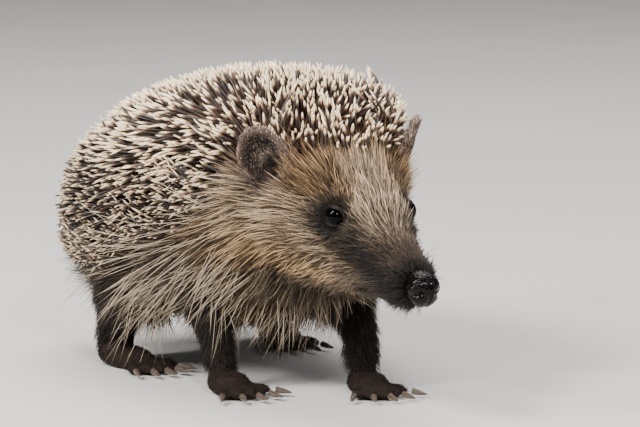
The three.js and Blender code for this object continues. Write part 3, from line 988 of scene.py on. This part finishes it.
overHair |= {"stand": 1.25, "free": 6, "rings": (0, 0.35, 0.7, 1), "pinch": 0.3}
overHair |= {"contrast": 0.3, "fade": 1.3, "dim": 0.0, "bright": 1.4, "edge": (1.0, 0.7)}
muzzleOverHair = overHair | {"seed": 53, "radius": 0.085 * mm, "bright": 1.0}
longHair = shortHair | {"seed": 31, "density": 2.1, "radius": 0.12 * mm, "rings": (0, 0.35, 0.7, 1)}
longHair |= {"sag": 0.16, "wander": 0.26, "lump": 9 * mm, "locks": 0.03, "pinch": 0.5}
longHair |= {"contrast": 0.5, "fade": 1.3, "bright": 0.5}
streamHair = longHair | {"seed": 36, "density": 0.2, "stretch": 1.15, "radius": 0.14 * mm}
streamHair |= {"stand": 1.2, "free": 5, "locks": 0.2, "cross": 0.26}
streamHair |= {"contrast": 0.35, "dim": 0.0, "bright": 0.92, "fade": 1.0}
guardHair = longHair | {"seed": 41, "density": 0.16, "stretch": 1.45, "radius": 0.125 * mm}
guardHair |= {"stand": 1.6, "free": 24, "locks": 0.5, "pinch": 0.1, "cross": 0.34, "edge": (1.0, 0.9)}
guardHair |= {"contrast": 0.2, "fade": 0.5, "dim": 0.0, "bright": 0.85, "shade": "guard"}
fringeHair = guardHair | {"seed": 43, "density": 1.8, "stretch": 2.0, "edge": (0.03, 0.3)}
fringeHair |= {"stand": 1.9, "free": 20, "sag": 0.06, "cross": 0.42, "bright": 1.1}


def growCoat():
    pale, dark = furFinish("pale_hair"), furFinish("dark_hair", 0.55)
    mouth, body = ("muzzle", "lower_jaw"), ("neck", "shoulder", "flank", "haunch")
    limbs, under = ("foreleg", "hindleg", "forefoot", "hindfoot", "tail"), ("chest", "belly", "vent")
    growFur("fur_head_left", ("head",), shortHair, pale, 1)
    growFur("fur_head_right", ("head",), shortHair | {"seed": 22}, pale, -1)
    growFur("over_hair_head", ("head",), overHair, pale)
    growFur("fur_muzzle", mouth, muzzleHair, dark)
    growFur("over_hair_muzzle", mouth, muzzleOverHair, dark)
    growFur("fur_ears", ("ear",), earHair, pale)
    growFur("fur_legs", limbs, shortHair | {"seed": 25, "density": 0.9}, dark)
    growFur("fur_body_left", body, longHair, pale, 1)
    growFur("fur_body_right", body, longHair | {"seed": 32}, pale, -1)
    growFur("fur_under", under, longHair | {"seed": 33, "density": 1.7}, dark)
    growFur("over_hair_body", body, streamHair, pale)
    growFur("guard_hair", body, guardHair, pale)
    growFur("fringe_hair", ("neck", "shoulder"), fringeHair, pale)


growCoat()


# eyes and lids

def eyeFinish():
    finish = Finish("wet_eye", roughness=0.02, specular=0.08)
    finish.colour(finish.steps(finish.noise(300, 2), [(0.3, tint(1, 1, 1)), (0.8, tint(3, 2, 2))]))
    return finish.material


def ballMesh(name, radius, rings=40, around=56):
    shape = bmesh.new()
    bmesh.ops.create_uvsphere(shape, u_segments=around, v_segments=rings, radius=radius)
    mesh = bpy.data.meshes.new(name)
    shape.to_mesh(mesh)
    return mesh


def eyeAxes(side):
    out = Vector(lookWay(side))
    forward = Vector(head["axes"][0] + 0.12 * head["axes"][2])
    level = (forward - out * forward.dot(out)).normalized()
    return out, level, out.cross(level)


def addEye(side, name):
    centre = Vector(eyeCentre(side))
    out, level, up = eyeAxes(side)
    ball = ballMesh(f"eyeball_{name}", eyes["radius"] * mm)
    ball.transform(Matrix.Translation(centre))
    eye = addPiece(f"eyeball_{name}", ball, eyeMaterial)
    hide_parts(f"eye_{name}")
    points, faces = [], []
    section = lid["section"]
    for i in range(lid["around"]):
        turn = 2 * math.pi * i / lid["around"]
        across, rise = math.cos(turn), math.sin(turn)
        corner = 1 + 0.1 * abs(across) ** 6
        edge = corner * math.hypot(lid["wide"] * across, lid["high"] * rise)
        for beyond, over in section:
            angle = math.radians(edge + beyond)
            way = out * math.cos(angle) + (level * across + up * rise) * math.sin(angle)
            points.append(centre + way * (eyes["radius"] + over) * mm)
    size = len(section)
    for i in range(lid["around"]):
        j = (i + 1) % lid["around"]
        for s in range(size):
            e = (s + 1) % size
            faces.append((i * size + s, j * size + s, j * size + e, i * size + e))
    mesh = bpy.data.meshes.new(f"eyelids_{name}")
    mesh.from_pydata(points, [], faces)
    shape = bmesh.new()
    shape.from_mesh(mesh)
    bmesh.ops.recalc_face_normals(shape, faces=shape.faces)
    bmesh.ops.subdivide_edges(shape, edges=shape.edges, cuts=1, use_grid_fill=True, smooth=0.5)
    shape.to_mesh(mesh)
    addPiece(f"eyelids_{name}", mesh, lidMaterial)


def lidFinish():
    finish = Finish("lid_skin", roughness=0.45, specular=0.12)
    mottle = finish.noise(2200, 4, 0.6)
    finish.colour(finish.steps(mottle, [(0.3, tint(17, 13, 12)), (0.75, tint(42, 34, 31))]))
    finish.bump(finish.cells(3200), 0.08 * mm, 0.6)
    return finish.material


eyeMaterial = eyeFinish()
lidMaterial = lidFinish()
addEye(1, "left")
addEye(-1, "right")
print("eyes made")


# nose

nose = {"radii": (3.8, 4.4, 4.7), "tail": 1.7, "blunt": 0.18}
nose |= {"pebble": 1350, "relief": 0.13, "lump": 0.4 * mm}


def noseFinish():
    finish = Finish("wet_nose", roughness=0.06, specular=0.15)
    mottle = finish.noise(900, 3)
    finish.colour(finish.steps(mottle, [(0.3, tint(3, 2, 2)), (0.8, tint(14, 8, 8))]))
    finish.bump(finish.cells(nose["pebble"]), 0.12 * mm, 0.8)
    return finish.material


def addNose():
    low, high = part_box("nose")
    middle = np.array((low + high) / 2)
    mesh = ballMesh("nose_pad", 1.0, 90, 120)
    way = pointsOf(mesh)
    x, y, z = way.T  # forward, left, up in the head's frame
    # a groove down the middle, a nostril each side with a slit behind it and a wing above it
    groove = np.exp(-(y / 0.09) ** 2) * ramp(x, 0.1, 0.6) * ramp(z, 0.95, 0.5)
    side = np.abs(y)
    hole = np.exp(-((side - 0.62) / 0.2) ** 2 - ((z - 0.02) / 0.2) ** 2) * ramp(x, 0.05, 0.4)
    slit = np.exp(-((side - 0.86) / 0.16) ** 2 - ((z + 0.22) / 0.12) ** 2) * ramp(x, -0.1, 0.2)
    wing = np.exp(-((side - 0.5) / 0.35) ** 2 - ((z - 0.42) / 0.3) ** 2)
    scale = 1 + 0.04 * wing - 0.1 * groove - 0.32 * hole - 0.16 * slit
    radii = np.array(nose["radii"]) * mm
    points = way * scale[:, None] * radii
    # the back of the pad is long and blunt, and sinks into the muzzle
    points[:, 0] *= np.where(x < 0, nose["tail"], 1)
    points[:, 1:] *= (1 + nose["blunt"] * ramp(-x, 0.1, 0.8) * ramp(-x, 1, 0.85))[:, None]
    knobs = swirl(points, nose["lump"], 71, 12) * (1 - hole) * (1 - groove)
    points = points + way * (knobs * nose["relief"] * 0.5 * mm)[:, None]
    points = points @ head["axes"] + middle
    setPoints(mesh, points)
    shape = bmesh.new()
    shape.from_mesh(mesh)
    bmesh.ops.recalc_face_normals(shape, faces=shape.faces)
    shape.to_mesh(mesh)
    pad = addPiece("nose_pad", mesh, noseFinish())
    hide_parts("nose")


addNose()


# whiskers

whiskers = {"count": 26, "longest": 27 * mm, "radius": 0.085 * mm, "seed": 61, "sides": 5}
whiskers |= {"back": (6, 19), "height": (-4.2, 1.2), "out": (0.8, 1.3), "up": (-0.7, 0.05)}
whiskers |= {"droop": 0.16, "sweep": 0.22}


def growWhiskers():
    random = np.random.default_rng(whiskers["seed"])
    tree = BVHTree.FromPolygons(skinPoints.tolist(), skinTriangles.tolist())
    roots, ways, lengths = [], [], []
    for index in range(whiskers["count"]):
        side = 1 if index % 2 else -1
        back = random.uniform(*whiskers["back"])
        height = random.uniform(*whiskers["height"])
        start = Vector(fromHead(-back, side * 25, height))
        hit = tree.ray_cast(start, Vector((-side, 0, 0)), 0.05)
        roots.append(hit[0])
        way = [-0.75, side * random.uniform(*whiskers["out"]), random.uniform(*whiskers["up"])]
        ways.append(np.array(way) @ head["axes"])
        lengths.append(whiskers["longest"] * random.uniform(0.5, 1) * (0.6 + back / 48))
    at, ways, lengths = np.array(roots), unit(np.array(ways)), np.array(lengths)
    t = np.array([0, 0.25, 0.5, 0.75, 1])
    droop = np.zeros((len(at), len(t), 3))
    droop[:, :, 2] = -whiskers["droop"] * lengths[:, None] * t ** 2
    sweep = np.array([-whiskers["sweep"], 0, 0]) @ head["axes"]
    droop += sweep * lengths[:, None, None] * (t ** 2)[None, :, None]
    paths = (at - ways * 0.5 * mm)[:, None] + ways[:, None] * (lengths[:, None] * t)[..., None] + droop
    wide = whiskers["radius"] * np.tile(1 - 0.85 * t, (len(at), 1))
    side = unit(np.cross(ways, np.array([0, 0, 1.0])))
    colours = blend(tint(28, 22, 19), tint(120, 104, 88), np.tile(t ** 2, (len(at), 1)))
    cell = np.floor(random.uniform(0.1, 0.9, (len(at), 2)) / patch) * patch
    mesh = strandMesh("whiskers", paths, wide, wide, side, whiskers["sides"], cell, colours=colours)
    addPiece("whiskers", mesh, furFinish("whisker_hair", 0.4))


growWhiskers()


# claws

def clawFinish():
    finish = Finish("claw_horn", roughness=0.35, specular=0.5)
    streaks = finish.noise(1500, 3)
    finish.colour(finish.steps(streaks, [(0.3, tint(58, 48, 42)), (0.8, tint(112, 97, 84))]))
    finish.bump(streaks, 0.05 * mm, 0.5)
    return finish.material


clawMaterial = clawFinish()
for nodeName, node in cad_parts.items():
    if nodeName.startswith("claw"):
        node.data.materials.clear()
        node.data.materials.append(clawMaterial)
print("claws finished")
